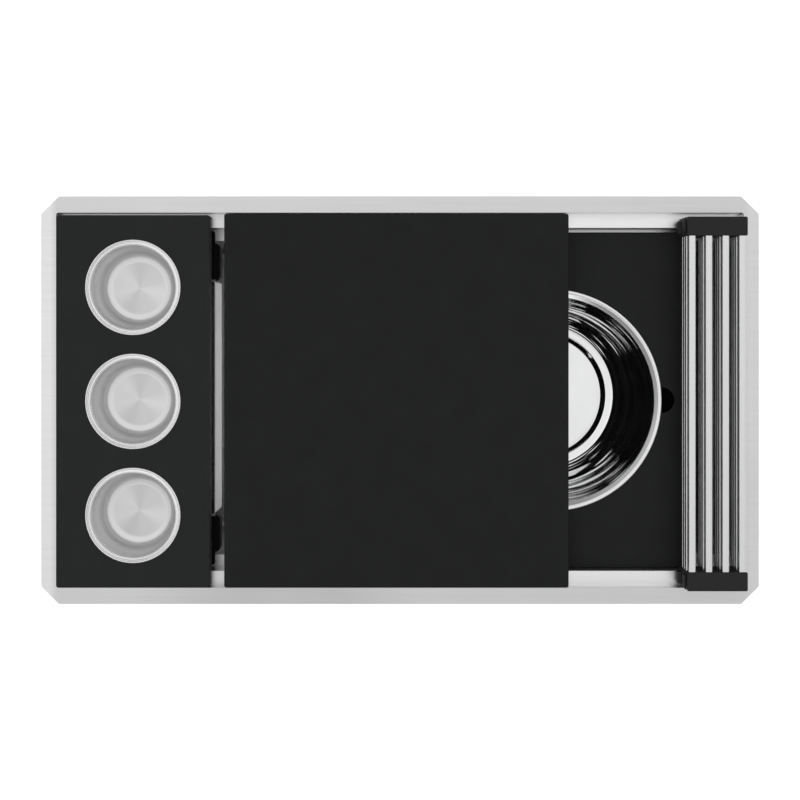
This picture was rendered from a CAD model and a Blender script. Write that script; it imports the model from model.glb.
"""A two-tier workstation sink with its boards, bowls, colander and folding drying rack."""

import math

import bmesh
import bpy
from mathutils import Matrix, Vector


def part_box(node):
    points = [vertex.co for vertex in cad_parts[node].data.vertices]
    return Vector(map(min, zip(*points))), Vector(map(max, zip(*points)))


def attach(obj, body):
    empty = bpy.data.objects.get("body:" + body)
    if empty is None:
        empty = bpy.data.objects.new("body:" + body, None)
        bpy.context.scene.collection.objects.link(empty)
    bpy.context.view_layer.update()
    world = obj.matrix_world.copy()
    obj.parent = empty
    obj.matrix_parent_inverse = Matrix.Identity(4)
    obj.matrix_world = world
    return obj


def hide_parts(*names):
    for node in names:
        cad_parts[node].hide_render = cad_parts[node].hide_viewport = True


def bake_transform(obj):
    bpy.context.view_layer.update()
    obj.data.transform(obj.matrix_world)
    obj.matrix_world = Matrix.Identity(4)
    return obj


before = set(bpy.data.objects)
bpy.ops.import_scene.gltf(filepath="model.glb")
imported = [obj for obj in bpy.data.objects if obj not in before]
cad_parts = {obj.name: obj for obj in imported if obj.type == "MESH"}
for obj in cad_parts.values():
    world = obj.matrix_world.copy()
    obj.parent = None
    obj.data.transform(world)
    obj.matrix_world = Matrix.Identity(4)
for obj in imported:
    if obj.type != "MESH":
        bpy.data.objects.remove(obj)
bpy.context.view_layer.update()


# ---- Sink basin ---------------------------------------------------------------------------
# One stainless sheet, folded into a flange, two ledges and the basin, and welded at the
# corners. The flange and the long walls are brushed left to right, the end walls front to
# back, and the outside keeps its dull mill finish. It hangs under the worktop by its flange.

class Reading:
    """What one socket gives at a point. Python's operators on it add Math nodes."""

    def __init__(self, tree, socket):
        self.tree = tree
        self.socket = socket

    def __add__(self, other):
        return self.tree.maths("ADD", self, other)

    def __sub__(self, other):
        return self.tree.maths("SUBTRACT", self, other)

    def __mul__(self, other):
        return self.tree.maths("MULTIPLY", self, other)

    def __rsub__(self, other):
        return self.tree.maths("SUBTRACT", other, self)

    __radd__ = __add__
    __rmul__ = __mul__


class Nodes:
    """A node tree that is being built."""

    def __init__(self, tree):
        self.tree = tree

    def feed(self, socket, value):
        if isinstance(value, Reading):
            self.tree.links.new(value.socket, socket)
        else:
            socket.default_value = value

    def node(self, kind, settings=None, inputs=None, output=0):
        made = self.tree.nodes.new(kind)
        for name, value in (settings or {}).items():
            setattr(made, name, value)
        for name, value in (inputs or {}).items():
            self.feed(made.inputs[name], value)
        return Reading(self, made.outputs[output])

    def maths(self, operation, *values):
        return self.node("ShaderNodeMath", {"operation": operation}, dict(enumerate(values)))

    def between(self, low, high, value):
        """0 below low and 1 above high, with a smooth step from one to the other."""
        return self.node(
            "ShaderNodeMapRange", {"interpolation_type": "SMOOTHSTEP"},
            {"Value": value, "From Min": low, "From Max": high},
        )

    def blend(self, share, first, second):
        return self.node(
            "ShaderNodeMix", {"data_type": "RGBA"}, {0: share, 6: first, 7: second}, 2
        )


class Finish(Nodes):
    """One material. Its patterns follow Object coordinates, in metres."""

    def __init__(self, name):
        self.material = bpy.data.materials.new(name)
        self.material.use_nodes = True
        super().__init__(self.material.node_tree)
        self.shader = self.tree.nodes["Principled BSDF"]

    def place(self, centre=(0, 0, 0), scale=(1, 1, 1)):
        here = self.node("ShaderNodeTexCoord", output="Object")
        moved = self.node("ShaderNodeVectorMath", {"operation": "SUBTRACT"}, {0: here, 1: centre})
        return self.node("ShaderNodeVectorMath", {"operation": "MULTIPLY"}, {0: moved, 1: scale})

    def axes(self, vector):
        return [self.node("ShaderNodeSeparateXYZ", {}, {0: vector}, i) for i in range(3)]

    def grain(self, scale, detail=3.0, centre=(0, 0, 0)):
        """Noise with this many features in a metre along each axis."""
        return self.node(
            "ShaderNodeTexNoise", {},
            {"Vector": self.place(centre, scale), "Scale": 1.0, "Detail": detail},
        )

    def streaks(self, axis, across, lengthways, detail):
        """Noise drawn out along one axis, with so many features in a metre across and along it."""
        scale = [across] * 3
        scale[axis] = lengthways
        return self.grain(scale, detail)

    def relief(self, height, depth):
        return self.node(
            "ShaderNodeBump", {}, {"Height": height, "Distance": depth, "Strength": 1.0}
        )

    def surface(self, **values):
        """Sets the shader's sockets. An underscore stands for the space in a socket's name."""
        for name, value in values.items():
            self.feed(self.shader.inputs[name.replace("_", " ")], value)
        return self.material


def grey(value, warmth=0.0):
    """A colour near grey. Positive warmth leans to red, negative warmth to blue."""
    return (value * (1 + warmth), value, value * (1 - warmth), 1)


LEFT_TO_RIGHT, FRONT_TO_BACK = 0, 1


def brushed_steel(name, axis, pale=0.80, dark=0.70, rough=0.30, worn=None):
    """Sheet that was brushed along one axis, with faint clouds where the belt pressed harder."""
    steel = Finish(name)
    lines = steel.streaks(axis, across=1500.0, lengthways=14.0, detail=4.0)
    bands = steel.streaks(axis, across=160.0, lengthways=5.0, detail=2.0)
    clouds = steel.grain((9.0, 9.0, 9.0), 3.0)
    tone = lines * 0.35 + bands * 0.3 + clouds * 0.35
    level = dark + steel.between(0.25, 0.75, tone) * (pale - dark)
    if worn:
        level = worn(steel, level)
    blue = level * 1.004
    return steel.surface(
        Base_Color=steel.node("ShaderNodeCombineColor", {}, {0: level, 1: level, 2: blue}),
        Metallic=1.0,
        Roughness=rough - 0.06 + lines * 0.10 + clouds * 0.05,
        Normal=steel.relief(lines, 0.00002),
    )


def merged_copy(node):
    """A CAD node's faces as one connected mesh, with its flat faces whole."""
    same_point = 0.000002
    shape = bmesh.new()
    shape.from_mesh(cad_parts[node].data)
    bmesh.ops.remove_doubles(shape, verts=shape.verts, dist=same_point)
    bmesh.ops.dissolve_degenerate(shape, edges=shape.edges, dist=same_point)
    bmesh.ops.dissolve_limit(
        shape, angle_limit=math.radians(1), verts=shape.verts, edges=shape.edges
    )
    return shape


def rounded(shape, radius, chosen=lambda middle: True, angle=35, steps=3):
    """Rounds the edges that turn by more than angle and whose middle point is chosen."""
    edges = [
        edge for edge in shape.edges
        if len(edge.link_faces) == 2
        and edge.calc_face_angle(0) > math.radians(angle)
        and chosen((edge.verts[0].co + edge.verts[1].co) / 2)
    ]
    bmesh.ops.bevel(
        shape, geom=edges, offset=radius, segments=steps, profile=0.5, affect="EDGES",
        clamp_overlap=True,
    )


def piece(name, shape, finishes, nodes, body, turn=30):
    """Makes a mesh object that stands for CAD nodes and moves with a body. Its edges look
    sharp where they turn by more than turn degrees."""
    if isinstance(shape, bmesh.types.BMesh):
        mesh = bpy.data.meshes.new(name)
        shape.to_mesh(mesh)
        shape.free()
    else:
        mesh = shape
    mesh.shade_smooth()
    mesh.set_sharp_from_angle(angle=math.radians(turn))
    made = bpy.data.objects.new(name, mesh)
    bpy.context.scene.collection.objects.link(made)
    for finish in finishes[len(mesh.materials):]:
        mesh.materials.append(finish)
    flat = made.modifiers.new("flat faces stay flat", "WEIGHTED_NORMAL")
    flat.keep_sharp = True
    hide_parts(*nodes)
    if body:
        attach(made, body)
    return made


half_opening = Vector((0.4015, 0.219))
flange_underside = -0.0016
drain = Vector((0.0, 0.060, -0.2565))
seat_radius = 0.0575
clear_of_bend = 0.004


def near_drain(middle):
    return (middle.xy - drain.xy).length < seat_radius + clear_of_bend


def at_rim(middle):
    return middle.z > flange_underside and (
        abs(middle.x) > half_opening.x + clear_of_bend
        or abs(middle.y) > half_opening.y + clear_of_bend
    )


def sink_wear(steel, level):
    """The end flanges took a brighter brushing, the front one a duller patch, and the boards
    have rubbed the upper ledge bright towards the right."""
    x, y, z = steel.axes(steel.place())
    flange = steel.between(-0.004, -0.002, z)
    left = steel.between(-0.400, -0.410, x) * 0.20
    right = steel.between(0.400, 0.410, x) * 0.07
    patch_middle = -0.14
    off_patch = steel.maths("ABSOLUTE", x - patch_middle)
    dull = steel.between(0.20, 0.04, off_patch) * steel.between(-0.21, -0.222, y) * -0.13
    ledge = steel.between(-0.007, -0.013, z) * steel.between(-0.030, -0.022, z)
    rubbed = ledge * steel.between(-0.18, 0.20, x) * 0.27
    change = 1 + flange * (left + right + dull - 0.035) + rubbed
    brightest = 0.96
    return steel.maths("MINIMUM", level * change, brightest)


basin = merged_copy("sink_basin")
rounded(basin, 0.0003, at_rim)
rounded(basin, 0.0005, near_drain)
rounded(basin, 0.0011, lambda middle: not near_drain(middle) and not at_rim(middle))
crossways, outside = 1, 2
for face in basin.faces:
    middle = face.calc_center_median()
    outward = face.normal.x * middle.x + face.normal.y * middle.y
    faces_down = face.normal.z < -0.5
    faces_out = outward > 0.04 and middle.z < flange_underside
    if faces_down or faces_out:
        face.material_index = outside
    elif abs(face.normal.x) > 0.7:
        face.material_index = crossways
piece(
    "basin",
    basin,
    [
        brushed_steel("steel brushed lengthways", LEFT_TO_RIGHT, worn=sink_wear),
        brushed_steel("steel brushed crossways", FRONT_TO_BACK),
        brushed_steel(
            "mill finish of the outside", LEFT_TO_RIGHT, pale=0.50, dark=0.40, rough=0.38
        ),
    ],
    ["sink_basin"],
    "sink",
)


# ---- Sound pads ---------------------------------------------------------------------------
# Soft rubber sheets, glued to the outside of the floor and walls so that water and dishes
# don't ring on the thin steel. They are cut from rolled sheet with a fine waffle print.

def pad_rubber():
    pad = Finish("pad rubber")
    x, y, z = pad.axes(pad.place())
    half_pitch, to_unit = 0.003, 333.0
    ribs = pad.maths("PINGPONG", x, half_pitch) * to_unit
    cross = pad.maths("PINGPONG", y + z, half_pitch) * to_unit
    waffle = pad.between(0.12, 0.4, pad.maths("MINIMUM", ribs, cross))
    dust = pad.grain((40.0, 40.0, 40.0), 4.0)
    return pad.surface(
        Base_Color=pad.blend(pad.between(0.3, 0.75, dust), grey(0.075, -0.02), grey(0.115, -0.01)),
        Roughness=0.62 + dust * 0.2,
        Normal=pad.relief(waffle, 0.0004),
    )


rubber = pad_rubber()
for node, name in (("bottom_pads", "pads_under_the_floor"), ("side_pads", "pads_on_the_walls")):
    pads = merged_copy(node)
    rounded(pads, 0.0008)
    piece(name, pads, [rubber], [node], "sink")


# ---- Strainer body, its washers and nuts --------------------------------------------------
# A polished stainless cup, dropped through the drain hole on putty and pulled down from
# below by a zinc nut on a rubber gasket and a fibre washer. A slip nut holds the tailpiece.

def outline_with_bends(corners):
    """(radius, height, bend) corners in mm, as points in metres with each corner rounded."""
    points = []
    count = len(corners)
    steps = 4
    most_of_side = 0.48
    for i, (r, z, bend) in enumerate(corners):
        here = Vector((r, z))
        back = Vector(corners[i - 1][:2]) - here
        ahead = Vector(corners[(i + 1) % count][:2]) - here
        if not bend:
            points.append(here)
            continue
        half = back.angle(ahead) / 2
        longest = most_of_side * min(back.length, ahead.length)
        reach = min(bend / math.tan(half), longest)
        start = here + back.normalized() * reach
        end = here + ahead.normalized() * reach
        for k in range(steps + 1):
            t = k / steps
            points.append(start * (1 - t) ** 2 + here * 2 * t * (1 - t) + end * t ** 2)
    return [(p.x / 1000, p.y / 1000) for p in points]


def turned(points, centre, around=160):
    """A closed outline of (radius, height) points, turned about the upright line at centre."""
    shape = bmesh.new()
    rings = []
    for radius, height in points:
        on_axis = radius < 0.000001
        if on_axis:
            rings.append([shape.verts.new((centre[0], centre[1], height))])
            continue
        rings.append([
            shape.verts.new((
                centre[0] + radius * math.cos(2 * math.pi * k / around),
                centre[1] + radius * math.sin(2 * math.pi * k / around),
                height,
            ))
            for k in range(around)
        ])
    for i, ring in enumerate(rings):
        other = rings[(i + 1) % len(rings)]
        if len(ring) == 1 and len(other) == 1:
            continue
        for k in range(around):
            j = (k + 1) % around
            corners = [
                ring[k % len(ring)], ring[j % len(ring)],
                other[j % len(other)], other[k % len(other)],
            ]
            shape.faces.new(list(dict.fromkeys(corners)))
    same_point = 0.0000005
    bmesh.ops.remove_doubles(shape, verts=shape.verts, dist=same_point)
    bmesh.ops.recalc_face_normals(shape, faces=shape.faces)
    return shape


def thread(radius, first, last, pitch, depth):
    """The crests and roots of a turned thread, as corners in mm, from its first height down
    to its last, or up where the pitch is negative."""
    corners = []
    for k in range(int((first - last) / pitch)):
        z = first - k * pitch
        corners += [
            (radius, z, 0), (radius, z - pitch * 0.3, 0),
            (radius - depth, z - pitch * 0.5, 0), (radius - depth, z - pitch * 0.8, 0),
        ]
    return corners


def polished_steel(name, centre, pale=0.86, rough=0.07, rings=900.0):
    """Buffed sheet with the faint rings that the polishing wheel leaves."""
    steel = Finish(name)
    x, y, z = steel.axes(steel.place(centre))
    radius = steel.maths("SQRT", x * x + y * y)
    around = steel.node(
        "ShaderNodeTexNoise", {"noise_dimensions": "1D"},
        {"W": radius * rings + z * rings, "Scale": 1.0, "Detail": 2.0},
    )
    smears = steel.grain((25.0, 25.0, 25.0), 3.0, centre)
    dulled = steel.between(0.3, 0.8, smears)
    return steel.surface(
        Base_Color=steel.blend(dulled, grey(pale, -0.003), grey(pale * 0.95, -0.003)),
        Metallic=1.0,
        Roughness=rough + steel.between(0.45, 0.8, smears) * 0.05 + around * 0.03,
        Normal=steel.relief(around, 0.000003),
    )


drain_steel = polished_steel("polished drain steel", drain)
flange_top = -254.7
body_outline = outline_with_bends(
    [(56.5, -256.5, 0.2), (56.5, -255.3, 0.5), (54.5, flange_top, 1.0), (44.5, flange_top, 1.5),
     (42.0, -257.0, 1.5), (42.0, -302.5, 2.0), (36.8, -307.9, 2.5), (26.5, -308.5, 1.0),
     (20.5, -308.5, 0.4), (20.5, -328.0, 0.4)]
    + thread(24.1, -328.0, -310.4, -1.5, 0.5)
    + [(24.1, -310.0, 0.3), (39.0, -310.0, 1.0), (43.0, -303.6, 1.0)]
    + thread(43.5, -302.0, -262.5, -1.8, 0.45)
    + [(43.5, -256.5, 0.2)]
)
cup = turned(body_outline, drain)
piece("strainer_cup", cup, [drain_steel], ["strainer_body"], "sink", turn=25)

tail_outline = outline_with_bends(
    [(23.5, -330.0, 0.3), (23.5, -331.6, 0.3), (19.05, -331.6, 0.3), (19.05, -428.0, 0.2),
     (18.9, -430.0, 0.2), (18.15, -430.0, 0.2), (18.15, -330.0, 0.3)]
)
piece(
    "tailpiece_tube",
    turned(tail_outline, drain),
    [polished_steel("chromed tube", drain, pale=0.84, rough=0.06, rings=300.0)],
    ["tailpiece"],
    "sink",
)


def zinc():
    plate = Finish("dull zinc")
    clouds = plate.grain((160.0, 160.0, 160.0), 5.0)
    spangle = plate.grain((700.0, 700.0, 700.0), 1.0)
    return plate.surface(
        Base_Color=plate.blend(clouds, grey(0.42, 0.01), grey(0.60, 0.0)),
        Metallic=0.9,
        Roughness=0.38 + clouds * 0.15,
        Normal=plate.relief(spangle, 0.00004),
    )


nut_zinc = zinc()
for node, name in (("lock_nut", "lock_nut_ring"), ("coupling_nut", "slip_nut")):
    nut = merged_copy(node)
    rounded(nut, 0.0006, angle=40)
    piece(name, nut, [nut_zinc], [node], "sink")


def drain_rubber():
    seal = Finish("drain rubber")
    bloom = seal.grain((120.0, 120.0, 120.0), 4.0)
    return seal.surface(
        Base_Color=seal.blend(bloom, grey(0.018), grey(0.030)),
        Roughness=0.5 + bloom * 0.2,
        Normal=seal.relief(bloom, 0.00005),
    )


def pressed_fibre():
    fibre = Finish("pressed fibre")
    hairs = fibre.grain((500.0, 500.0, 2500.0), 6.0)
    return fibre.surface(
        Base_Color=fibre.blend(hairs, (0.30, 0.21, 0.12, 1), (0.52, 0.40, 0.26, 1)),
        Roughness=0.85,
        Normal=fibre.relief(hairs, 0.0001),
    )


def slip_plastic():
    plastic = Finish("white washer plastic")
    haze = plastic.grain((90.0, 90.0, 90.0), 3.0)
    return plastic.surface(
        Base_Color=plastic.blend(haze, grey(0.74, 0.01), grey(0.82, 0.005)),
        Roughness=0.32 + haze * 0.1,
        Normal=plastic.relief(haze, 0.00003),
    )


gasket_rubber = drain_rubber()
for node, outer, inner, top, bottom, edge, finish in (
    ("strainer_gasket", 56.5, 43.65, -258.0, -261.0, 0.9, gasket_rubber),
    ("friction_washer", 56.0, 43.65, -261.0, -262.0, 0.2, pressed_fibre()),
    ("outlet_washer", 23.5, 19.05, -328.0, -330.0, 0.4, slip_plastic()),
):
    ring = outline_with_bends(
        [(outer, top, edge), (outer, bottom, edge), (inner, bottom, edge), (inner, top, edge)]
    )
    piece(node + "_ring", turned(ring, drain), [finish], [node], "sink")


# ---- Strainer basket ----------------------------------------------------------------------
# A lift-out cup of polished sheet with a ring of round holes and a ring of slots. A knob
# pulls it up, and the rubber under it closes the outlet when it is pushed down.

basket = merged_copy("strainer_basket")
rounded(basket, 0.0002, angle=50, steps=2)
piece("basket_cup", basket, [drain_steel], ["strainer_basket"], "basket", turn=25)

seal_outline = outline_with_bends(
    [(0, -310.5, 0), (19.0, -310.5, 0.6), (19.0, -308.5, 0.2), (24.5, -308.5, 0.8),
     (23.5, -304.5, 0.8), (0, -304.5, 0)]
)
piece("basket_seal_disc", turned(seal_outline, drain), [gasket_rubber], ["basket_seal"], "basket")

knob_outline = outline_with_bends(
    [(0, -304.5, 0), (3.9, -304.5, 0), (3.9, -303.5, 0), (6.0, -303.5, 0.4), (6.0, -301.5, 1.0),
     (3.0, -299.5, 1.0), (3.0, -281.5, 2.0), (11.0, -278.5, 1.0), (11.0, -274.0, 1.0),
     (9.5, -272.5, 1.0), (2.0, -272.9, 2.0), (0, -272.9, 0)]
)
piece("basket_pull", turned(knob_outline, drain), [drain_steel], ["basket_knob"], "basket")


# ---- Condiment board ----------------------------------------------------------------------
# Black pressed paper composite, routed with three round holes that carry the small bowls.
# It lies on the upper ledge and slides left and right.

def composite(name, dark, pale, shine=0.17):
    """Resin-pressed paper: nearly black, with a faint mottle and fine rubbing marks."""
    board = Finish(name)
    mottle = board.grain((28.0, 28.0, 28.0), 5.0)
    speck = board.grain((1400.0, 1400.0, 1400.0), 2.0)
    sideways = board.streaks(LEFT_TO_RIGHT, across=700.0, lengthways=12.0, detail=2.0)
    to_and_fro = board.streaks(FRONT_TO_BACK, across=700.0, lengthways=12.0, detail=2.0)
    rubbed = sideways * 0.5 + to_and_fro * 0.5
    tone = board.between(0.3, 0.7, mottle * 0.7 + speck * 0.3)
    return board.surface(
        Base_Color=board.blend(tone, grey(dark, -0.04), grey(pale, -0.045)),
        Roughness=0.44 + mottle * 0.10 + rubbed * 0.08,
        Specular_IOR_Level=shine,
        Normal=board.relief(speck * 0.6 + rubbed * 0.4, 0.00003),
    )


edge_round = 0.0009
condiment_board = merged_copy("condiment_board")
rounded(condiment_board, edge_round)
piece(
    "condiment_board_slab",
    condiment_board,
    [composite("black composite, condiment board", dark=0.0105, pale=0.0135)],
    ["condiment_board"],
    "condiment_board",
)


# ---- Condiment bowls ----------------------------------------------------------------------
# Three small bowls, spun from thin stainless sheet. Their walls are satin, their floors are
# spin-brushed, and each hangs in its hole by a flat rim with a rolled edge.

def wall_curve(floor, mouth, floor_z, top, steps=26):
    """(radius, height) points down a quarter ellipse from the mouth to the floor."""
    return [
        Vector((floor + (mouth - floor) * math.cos(a), top + (floor_z - top) * math.sin(a)))
        for a in (math.pi / 2 * k / steps for k in range(steps + 1))
    ]


def sheet_outline(inside, thick):
    """Closes an inside curve, run from the rim to the middle, with an outside that far away."""
    outside = []
    for i, point in enumerate(inside):
        along = inside[min(i + 1, len(inside) - 1)] - inside[max(i - 1, 0)]
        away = Vector((-along.y, along.x)).normalized()
        outside.append(point + away * thick)
    outside[-1].x = 0
    return [(p.x / 1000, p.y / 1000) for p in inside + outside[::-1]]


def spun_steel(name, centre, floor_radius, mouth_radius):
    """Satin wall, buffed rim, and a floor whose brushed circles catch the light in wedges."""
    steel = Finish(name)
    x, y, z = steel.axes(steel.place(centre))
    radius = steel.maths("SQRT", x * x + y * y)
    rings_per_metre = 2600.0
    rings = steel.node(
        "ShaderNodeTexNoise", {"noise_dimensions": "1D"},
        {"W": radius * rings_per_metre + z * rings_per_metre, "Scale": 1.0, "Detail": 3.0},
    )
    turn = steel.maths("ARCTAN2", y, x)
    broad = steel.maths("COSINE", turn * 2.0 + 0.5) * 0.5 + 0.5
    narrow = steel.maths("COSINE", turn * 5.0 + 1.3) * 0.5 + 0.5
    wedge = broad * 0.7 + narrow * 0.3
    on_floor = 1 - steel.between(floor_radius * 0.94, floor_radius * 1.04, radius)
    at_rim = steel.between(mouth_radius - 0.0006, mouth_radius + 0.0004, radius)
    bright = 0.76 + on_floor * (wedge * 0.16 - 0.14) + at_rim * 0.12 + rings * 0.05
    colour = steel.node("ShaderNodeCombineColor", {}, {0: bright, 1: bright, 2: bright})
    return steel.surface(
        Base_Color=colour,
        Metallic=1.0,
        Roughness=0.27 + on_floor * 0.06 - at_rim * 0.14 + rings * 0.05,
        Normal=steel.relief(rings, 0.00001),
    )


def middle_of(node):
    low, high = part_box(node)
    return (low + high) / 2


bowl_sheet = 0.9
small_rim = [
    (55.5, 0.4), (55.8, 1.0), (55.5, 1.7), (54.8, 2.0), (54.1, 1.7), (53.7, 1.25), (53.3, 1.0),
    (52.8, 1.0), (52.1, 1.25), (51.2, 1.4), (50.4, 1.2), (49.7, 0.6), (49.25, -0.4),
]
small_floor = [(34.5, -41.75), (33.0, -41.95), (31.5, -42.0), (24, -42.0), (12, -42.0), (0, -42.0)]
small_inside = [Vector(p) for p in small_rim]
small_inside += wall_curve(floor=36.0, mouth=49.0, floor_z=-41.5, top=-1.6)
small_inside += [Vector(p) for p in small_floor]
small_floor_radius, small_mouth_radius = 0.0315, 0.049
for n in (1, 2, 3):
    node = f"condiment_bowl_{n}"
    centre = middle_of(node)
    satin = spun_steel(
        f"spun steel, small bowl {n}", centre, small_floor_radius, small_mouth_radius
    )
    bowl = turned(sheet_outline(small_inside, bowl_sheet), centre)
    piece(f"small_bowl_{n}", bowl, [satin], [node], node, turn=50)


# ---- Cutting board ------------------------------------------------------------------------
# A plain slab of the same composite on the upper ledge. Its faces are sanded matt and its
# edges are eased.

cutting_board = merged_copy("cutting_board")
rounded(cutting_board, edge_round)
piece(
    "cutting_board_slab",
    cutting_board,
    [composite("black composite, cutting board", dark=0.0066, pale=0.0088)],
    ["cutting_board"],
    "cutting_board",
)


# ---- Bowl board ---------------------------------------------------------------------------
# A composite board on the lower ledge. Its large hole carries the mixing bowl. A scoop at
# each side of the hole, milled into the darker core, lets a finger under the bowl's rim.

mixing_centre = middle_of("mixing_bowl")
scoop_start, scoop_end = 0.1285, 0.1500
scoop_half_width = 0.018
scoop_bottom, scoop_top = -0.0490, -0.0375


def in_scoop(middle):
    out = (middle.xy - mixing_centre.xy).length
    return (
        scoop_start < out < scoop_end
        and abs(middle.y) < scoop_half_width
        and scoop_bottom < middle.z < scoop_top
    )


bowl_board = merged_copy("bowl_board")
rounded(bowl_board, edge_round)
for face in bowl_board.faces:
    face.material_index = 1 if in_scoop(face.calc_center_median()) else 0
piece(
    "bowl_board_slab",
    bowl_board,
    [
        composite("black composite, bowl board", dark=0.0076, pale=0.0100),
        composite("raw composite in the scoops", dark=0.0008, pale=0.0014, shine=0.02),
    ],
    ["bowl_board"],
    "bowl_board",
)


# ---- Mixing bowl --------------------------------------------------------------------------
# Spun from one disc and buffed to a mirror, with a pressed ring round the middle of its
# floor. A flat rim with a rolled edge hangs it in the bowl board.

mixing_rim = [
    (132.2, -35.6), (132.5, -35.0), (132.2, -34.4), (131.5, -34.0), (130.3, -34.0),
    (129.3, -34.15), (128.5, -34.6), (127.8, -35.1), (124.1, -36.4), (123.7, -36.8),
    (123.5, -37.4),
]
mixing_floor = [
    (85.5, -147.2), (82.6, -147.3), (81.5, -147.6), (80.6, -148.1), (76.3, -150.7),
    (75.4, -151.0), (74.6, -150.95), (72.6, -150.75), (69.5, -150.75), (60.0, -150.9),
    (40.0, -151.0), (20.0, -151.0), (0.0, -151.0),
]
mixing_inside = [Vector(p) for p in mixing_rim]
mixing_inside += wall_curve(floor=87.0, mouth=123.4, floor_z=-147.2, top=-38.4, steps=44)
mixing_inside += [Vector(p) for p in mixing_floor]
piece(
    "mirror_bowl",
    turned(sheet_outline(mixing_inside, bowl_sheet), mixing_centre, around=240),
    [polished_steel("mirror steel", mixing_centre, pale=0.90, rough=0.012, rings=700.0)],
    ["mixing_bowl"],
    "mixing_bowl",
    turn=60,
)


# ---- Colander -----------------------------------------------------------------------------
# A folded and welded stainless tray with a perforated floor, which hangs on the lower
# ledge by its black-coated end rims. A black moulded block is screwed under each as its grip.

def moulding():
    plastic = Finish("black moulded plastic")
    spark = plastic.grain((2200.0, 2200.0, 2200.0), 1.0)
    flow = plastic.grain((30.0, 30.0, 30.0), 3.0)
    return plastic.surface(
        Base_Color=plastic.blend(flow, grey(0.003), grey(0.005)),
        Roughness=0.48 + flow * 0.12,
        Specular_IOR_Level=0.15,
        Normal=plastic.relief(spark, 0.00004),
    )


block_plastic = moulding()
tray_steel = brushed_steel("colander steel", FRONT_TO_BACK, pale=0.78)
coating_start, coating_bottom = 0.1425, -0.0545
tray = merged_copy("colander_tray")
rounded(tray, 0.0004, angle=50, steps=2)
for side in (-1, 1):
    bmesh.ops.bisect_plane(
        tray, geom=tray.verts[:] + tray.edges[:] + tray.faces[:],
        plane_co=(0, side * coating_start, 0), plane_no=(0, 1, 0),
    )
for face in tray.faces:
    middle = face.calc_center_median()
    coated = middle.z > coating_bottom and abs(middle.y) > coating_start
    face.material_index = 1 if coated else 0
piece("colander_walls", tray, [tray_steel, block_plastic], ["colander_tray"], "colander")

perforated = merged_copy("colander_floor")
rounded(perforated, 0.0002, angle=60, steps=1)
piece("colander_perforated_floor", perforated, [tray_steel], ["colander_floor"], "colander")

for end in ("back", "front"):
    block = merged_copy(f"colander_block_{end}")
    rounded(block, 0.0008, angle=50)
    piece(f"colander_grip_{end}", block, [block_plastic], [f"colander_block_{end}"], "colander")


def grown(name, tree, inputs):
    """The plain mesh that a Geometry Nodes tree grows from these inputs."""
    seed = bpy.data.objects.new(name, bpy.data.meshes.new(name))
    bpy.context.scene.collection.objects.link(seed)
    growth = seed.modifiers.new("growth", "NODES")
    growth.node_group = tree
    sockets = {item.name: item.identifier for item in tree.interface.items_tree}
    for label, value in inputs.items():
        growth[sockets[label]] = value
    graph = bpy.context.evaluated_depsgraph_get()
    mesh = bpy.data.meshes.new_from_object(seed.evaluated_get(graph), depsgraph=graph)
    bpy.data.objects.remove(seed)
    return mesh


def growing_tree(name, inputs):
    """An empty Geometry Nodes tree with named inputs, and their readings."""
    group = bpy.data.node_groups.new(name, "GeometryNodeTree")
    for label, kind in inputs.items():
        group.interface.new_socket(name=label, in_out="INPUT", socket_type="NodeSocket" + kind)
    group.interface.new_socket(name="Geometry", in_out="OUTPUT", socket_type="NodeSocketGeometry")
    tree = Nodes(group)
    start = group.nodes.new("NodeGroupInput")
    return tree, {label: Reading(tree, start.outputs[label]) for label in inputs}


def finish_growth(tree, geometry, material):
    """Every tree ends in Realize Instances and Set Material."""
    plain = tree.node("GeometryNodeRealizeInstances", {}, {0: geometry})
    done = tree.node("GeometryNodeSetMaterial", {}, {"Geometry": plain, "Material": material})
    end = tree.tree.nodes.new("NodeGroupOutput")
    tree.feed(end.inputs[0], done)


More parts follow.
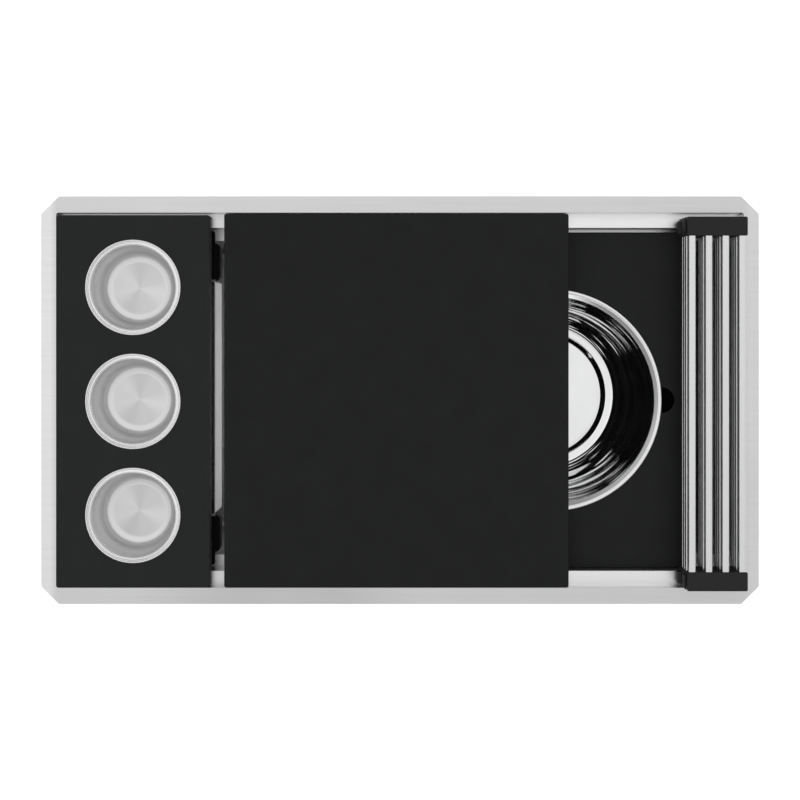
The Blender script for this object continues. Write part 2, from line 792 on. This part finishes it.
def screw_tree():
    """Four pan-head screws with cross recesses, at the corners of a rectangle."""
    tree, given = growing_tree("pan-head screws", {
        "Across": "Float", "Apart": "Float", "Height": "Float", "Left": "Float",
        "Head": "Float", "Finish": "Material",
    })
    head_flatness = 0.42
    slot_long, slot_wide, slot_deep, slot_height = 0.0042, 0.0008, 0.0016, 0.0015
    shank_radius, shank_long, shank_height = 0.002, 0.0128, -0.0056

    def shifted(geometry, by):
        return tree.node("GeometryNodeTransform", {}, {"Geometry": geometry, "Translation": by})

    def block_at(height, *size):
        return shifted(tree.node("GeometryNodeMeshCube", {}, {"Size": size}), (0, 0, height))

    places = tree.node(
        "GeometryNodeMeshGrid", {},
        {"Size X": given["Across"], "Size Y": given["Apart"], "Vertices X": 2, "Vertices Y": 2},
    )
    middle_place = {"X": given["Left"], "Y": 0.0, "Z": given["Height"]}
    places = shifted(places, tree.node("ShaderNodeCombineXYZ", {}, middle_place))
    head = tree.node(
        "GeometryNodeMeshUVSphere", {}, {"Segments": 32, "Rings": 16, "Radius": given["Head"]}
    )
    flattened = (1, 1, head_flatness)
    head = tree.node("GeometryNodeTransform", {}, {"Geometry": head, "Scale": flattened})
    lower_half = block_at(-0.005, 0.02, 0.02, 0.01)
    first_slot = block_at(slot_height, slot_long, slot_wide, slot_deep)
    cross_slot = block_at(slot_height, slot_wide, slot_long, slot_deep)
    for cutter in (lower_half, first_slot, cross_slot):
        cut = tree.tree.nodes.new("GeometryNodeMeshBoolean")
        cut.operation = "DIFFERENCE"
        tree.feed(cut.inputs["Mesh 1"], head)
        tree.feed(cut.inputs["Mesh 2"], cutter)
        head = Reading(tree, cut.outputs["Mesh"])
    shank = tree.node(
        "GeometryNodeMeshCylinder", {},
        {"Vertices": 24, "Radius": shank_radius, "Depth": shank_long},
    )
    shank = shifted(shank, (0, 0, shank_height))
    joined = tree.tree.nodes.new("GeometryNodeJoinGeometry")
    tree.feed(joined.inputs[0], head)
    tree.feed(joined.inputs[0], shank)
    screws = tree.node(
        "GeometryNodeInstanceOnPoints", {},
        {"Points": places, "Instance": Reading(tree, joined.outputs[0])},
    )
    finish_growth(tree, screws, given["Finish"])
    return tree.tree


screws_low, screws_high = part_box("colander_screws")
cad_head = 0.008
tray_centre = (-0.30875, 0, 0)
screw_steel = polished_steel("screw steel", tray_centre, pale=0.80, rough=0.16, rings=1500.0)
screws = grown("screws", screw_tree(), {
    "Across": 0.120,
    "Apart": screws_high.y - screws_low.y - cad_head,
    "Height": -0.053,
    "Left": middle_of("colander_screws").x,
    "Head": 0.0039,
    "Finish": screw_steel,
})
piece("colander_screw_heads", screws, [screw_steel], ["colander_screws"], "colander")


# ---- Drying rack: tubes -------------------------------------------------------------------
# Four layers of four square stainless tubes. Each tube is drawn, brushed along its length
# and plugged into a silicone strip at both ends.

def tube_tree():
    """A row of square tubes with rounded corners, all along Y."""
    tree, given = growing_tree("square tubes", {
        "Tubes": "Int", "Pitch": "Float", "Length": "Float", "Side": "Float", "Corner": "Float",
        "First": "Vector", "Finish": "Material",
    })
    section = tree.node(
        "GeometryNodeCurvePrimitiveQuadrilateral", {},
        {"Width": given["Side"], "Height": given["Side"]},
    )
    section = tree.node(
        "GeometryNodeFilletCurve", {"mode": "POLY"},
        {"Curve": section, "Radius": given["Corner"], "Count": 4, "Limit Radius": True},
    )
    ends = tree.node("ShaderNodeCombineXYZ", {}, {"X": 0.0, "Y": given["Length"], "Z": 0.0})
    path = tree.node("GeometryNodeCurvePrimitiveLine", {}, {"Start": (0, 0, 0), "End": ends})
    tube = tree.node(
        "GeometryNodeCurveToMesh", {}, {"Curve": path, "Profile Curve": section, "Fill Caps": True}
    )
    step = tree.node("ShaderNodeCombineXYZ", {}, {"X": given["Pitch"], "Y": 0.0, "Z": 0.0})
    row = tree.node(
        "GeometryNodeMeshLine", {},
        {"Count": given["Tubes"], "Start Location": given["First"], "Offset": step},
    )
    tubes = tree.node("GeometryNodeInstanceOnPoints", {}, {"Points": row, "Instance": tube})
    finish_growth(tree, tubes, given["Finish"])
    return tree.tree


def tube_steel():
    steel = Finish("tube steel")
    lines = steel.streaks(FRONT_TO_BACK, across=1800.0, lengthways=9.0, detail=3.0)
    bands = steel.streaks(FRONT_TO_BACK, across=20.0, lengthways=3.0, detail=2.0)
    tone = lines * 0.5 + bands * 0.5
    return steel.surface(
        Base_Color=steel.blend(tone, grey(0.74, -0.003), grey(0.86, -0.003)),
        Metallic=1.0,
        Roughness=0.20 + lines * 0.08,
        Normal=steel.relief(lines, 0.00001),
    )


LAYERS = 4
TUBES = 4
rack_steel = tube_steel()
tubes_of_layer = tube_tree()
for layer in range(1, LAYERS + 1):
    nodes = [f"rack_bar_{n}" for n in range(TUBES * (layer - 1) + 1, TUBES * layer + 1)]
    low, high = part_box(nodes[0])
    mesh = grown(f"tubes of layer {layer}", tubes_of_layer, {
        "Tubes": TUBES,
        "Pitch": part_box(nodes[1])[0].x - low.x,
        "Length": high.y - low.y,
        "Side": high.x - low.x,
        "Corner": 0.0012,
        "First": ((low.x + high.x) / 2, low.y, (low.z + high.z) / 2),
        "Finish": rack_steel,
    })
    piece(f"tubes_{layer}", mesh, [rack_steel], nodes, f"rack_layer_{layer}", turn=25)


# ---- Drying rack: end strips --------------------------------------------------------------
# Black silicone, moulded over the ends of each layer's tubes. The strips lie on the ledge
# and on each other, and keep the steel off the sink.

def silicone():
    skin = Finish("black silicone")
    bloom = skin.grain((60.0, 60.0, 60.0), 4.0)
    texture = skin.grain((3000.0, 3000.0, 3000.0), 1.0)
    return skin.surface(
        Base_Color=skin.blend(bloom, grey(0.011), grey(0.017)),
        Roughness=0.52 + bloom * 0.15,
        Specular_IOR_Level=0.22,
        Normal=skin.relief(texture, 0.00003),
    )


rack_silicone = silicone()
strip_corner, strip_edge = 0.002, 0.0009
for layer in range(1, LAYERS + 1):
    for end in ("back", "front"):
        node = f"rack_strip_{layer}_{end}"
        low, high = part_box(node)
        size = (high - low).to_4d()
        strip = bmesh.new()
        bmesh.ops.create_cube(
            strip, size=1.0, matrix=Matrix.Translation(middle_of(node)) @ Matrix.Diagonal(size)
        )
        upright = [e for e in strip.edges if abs(e.verts[0].co.z - e.verts[1].co.z) > 0.001]
        bmesh.ops.bevel(
            strip, geom=upright, offset=strip_corner, segments=5, profile=0.5, affect="EDGES"
        )
        rounded(strip, strip_edge, angle=45)
        piece(f"strip_{layer}_{end}", strip, [rack_silicone], [node], f"rack_layer_{layer}")


# ---- Drying rack: fold webs ---------------------------------------------------------------
# Thin silicone hinges, moulded in one with the strips, alternately at the left and right.
# Each is a flat tongue bent round from one layer to the next, with three flexing grooves.

def fold_web(fold, end):
    """A web bulges to the right at the second fold and to the left at the others. The first
    one is the thickest, and the third one's box is a step wider than its bend."""
    node = f"rack_web_{fold}_{end}"
    low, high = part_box(node)
    outward = 1 if fold == 2 else -1
    thick = 0.0019 if fold == 1 else 0.0011
    top_layer_step = 0.0012
    root_x = low.x if outward > 0 else high.x
    if fold == 3:
        root_x = high.x - top_layer_step
    reach = (high.x - root_x) if outward > 0 else (root_x - low.x)
    middle = (low.z + high.z) / 2
    half = (high.z - low.z) / 2
    around, along = 25, 29
    groove_every, groove_depth = 7, 0.00025
    grooves = range(groove_every, along - 1, groove_every)
    flat_tip, flat_ends = 0.55, 0.8
    shape = bmesh.new()
    skins = []
    for inset in (0, thick):
        rows = []
        for i in range(around):
            a = math.pi * (i / (around - 1) - 0.5)
            out = abs(math.cos(a)) ** flat_tip
            up = abs(math.sin(a)) ** flat_ends * math.copysign(1, a)
            row = []
            for k in range(along):
                groove = groove_depth if k in grooves and not inset else 0
                row.append(shape.verts.new((
                    root_x + outward * (reach - inset - groove) * out,
                    low.y + (high.y - low.y) * k / (along - 1),
                    middle + (half - inset - groove * abs(up)) * up,
                )))
            rows.append(row)
        skins.append(rows)
    outer, inner = skins
    for rows in skins:
        for i in range(around - 1):
            for k in range(along - 1):
                shape.faces.new(
                    (rows[i][k], rows[i + 1][k], rows[i + 1][k + 1], rows[i][k + 1])
                )
    for i in range(around - 1):
        for k in (0, along - 1):
            shape.faces.new((outer[i][k], outer[i + 1][k], inner[i + 1][k], inner[i][k]))
    for i in (0, around - 1):
        for k in range(along - 1):
            shape.faces.new((outer[i][k], outer[i][k + 1], inner[i][k + 1], inner[i][k]))
    bmesh.ops.recalc_face_normals(shape, faces=shape.faces)
    web = piece(f"web_{fold}_{end}", shape, [rack_silicone], [node], None, turn=50)
    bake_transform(web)


for fold in range(1, LAYERS):
    for end in ("back", "front"):
        fold_web(fold, end)


# ---- Studio -------------------------------------------------------------------------------
# A white table a little below the tailpiece, lit from all round and by a large softbox
# overhead. Metal sees the bright box, a dimmer room and a pale horizon.

table = Finish("white table")
seen, mirrored, passed = [
    table.node("ShaderNodeLightPath", output=name)
    for name in ("Is Camera Ray", "Is Glossy Ray", "Is Transmission Ray")
]
table_glow = 0.45
glow = table.maths("MINIMUM", seen + mirrored + passed, 1.0) * table_glow
clouds = table.grain((3.0, 3.0, 3.0), 2.0)
table.surface(
    Base_Color=table.blend(clouds, grey(0.88), grey(0.90)),
    Roughness=0.9,
    Specular_IOR_Level=0.0,
    Emission_Color=table.node("ShaderNodeCombineColor", {}, {0: glow, 1: glow, 2: glow}),
    Emission_Strength=1.0,
)
table_height = -0.4345
sheet = bmesh.new()
bmesh.ops.create_grid(
    sheet, x_segments=8, y_segments=8, size=6.0,
    matrix=Matrix.Translation((0, 0, table_height)),
)
table_mesh = bpy.data.meshes.new("table")
sheet.to_mesh(table_mesh)
sheet.free()
table_mesh.materials.append(table.material)
table_top = bpy.data.objects.new("table", table_mesh)
bpy.context.scene.collection.objects.link(table_top)

world = bpy.data.worlds.new("studio")
world.use_nodes = True
bpy.context.scene.world = world
room = Nodes(world.node_tree)
direction = room.node("ShaderNodeTexCoord", output="Generated")
east, north, up = [room.node("ShaderNodeSeparateXYZ", {}, {0: direction}, i) for i in range(3)]
overhead = room.between(0.80, 0.90, up)
horizon = 1 - room.between(0.10, 0.42, up)
panels = room.between(0.60, 0.64, up) * (1 - room.between(0.72, 0.76, up))
towards_front = room.maths("MAXIMUM", 0 - north - 0.04, 0.0)
box_light = 0.91 - east * 0.14 - towards_front * 0.6
wall_light = 0.28 + horizon * 0.72 + panels * 0.95
level = overhead * box_light + (1 - overhead) * wall_light
shade = room.node("ShaderNodeCombineColor", {}, {0: level, 1: level, 2: level})
background = world.node_tree.nodes["Background"]
room.feed(background.inputs["Color"], shade)
room.feed(background.inputs["Strength"], 1.0)

bpy.context.scene.cycles.glossy_bounces = 12
for name, spot, size, power in (
    ("overhead softbox", (0.0, 0.1, 2.6), 3.0, 30.0),
    ("left fill", (-2.2, -0.6, 1.4), 1.6, 9.0),
):
    lamp = bpy.data.lights.new(name, "AREA")
    lamp.size = size
    lamp.energy = power
    holder = bpy.data.objects.new(name, lamp)
    holder.location = spot
    to_the_sink = Vector((0, 0, 0)) - Vector(spot)
    holder.rotation_euler = to_the_sink.to_track_quat("-Z", "Y").to_euler()
    holder.visible_glossy = False
    bpy.context.scene.collection.objects.link(holder)

# Strips just under the cutting board stand for the studio light that falls in between the
# boards. The mixing bowl and the basin mirror them as bright streaks.
strip_height = -0.0195
for name, left, right, front, back, radiance, spread in (
    ("strip over the basin floor", -0.200, -0.110, -0.188, 0.188, 0.40, 80),
    ("strip over the bowl, front", 0.160, 0.194, -0.078, -0.036, 0.8, 180),
    ("strip over the bowl, back", 0.160, 0.194, 0.022, 0.060, 0.8, 180),
    ("far strip over the bowl, front", 0.075, 0.112, -0.128, -0.086, 0.9, 180),
    ("far strip over the bowl, back", 0.075, 0.112, 0.086, 0.120, 0.9, 180),
):
    lamp = bpy.data.lights.new(name, "AREA")
    lamp.shape = "RECTANGLE"
    lamp.size = right - left
    lamp.size_y = back - front
    lamp.energy = math.pi * radiance * lamp.size * lamp.size_y
    lamp.spread = math.radians(spread)
    holder = bpy.data.objects.new(name, lamp)
    holder.location = ((left + right) / 2, (front + back) / 2, strip_height)
    holder.visible_camera = False
    bpy.context.scene.collection.objects.link(holder)

# The camera looks straight down from 1.6 m above the flange.
view = bpy.data.cameras.new("camera")
view.sensor_width = 36.0
view.lens = 61.67
view.shift_y = -0.0961
view.clip_end = 50.0
camera = bpy.data.objects.new("camera", view)
camera.location = (0.0, 0.09, 1.6)
bpy.context.scene.collection.objects.link(camera)
bpy.context.scene.camera = camera
bpy.context.scene.view_settings.view_transform = "Standard"
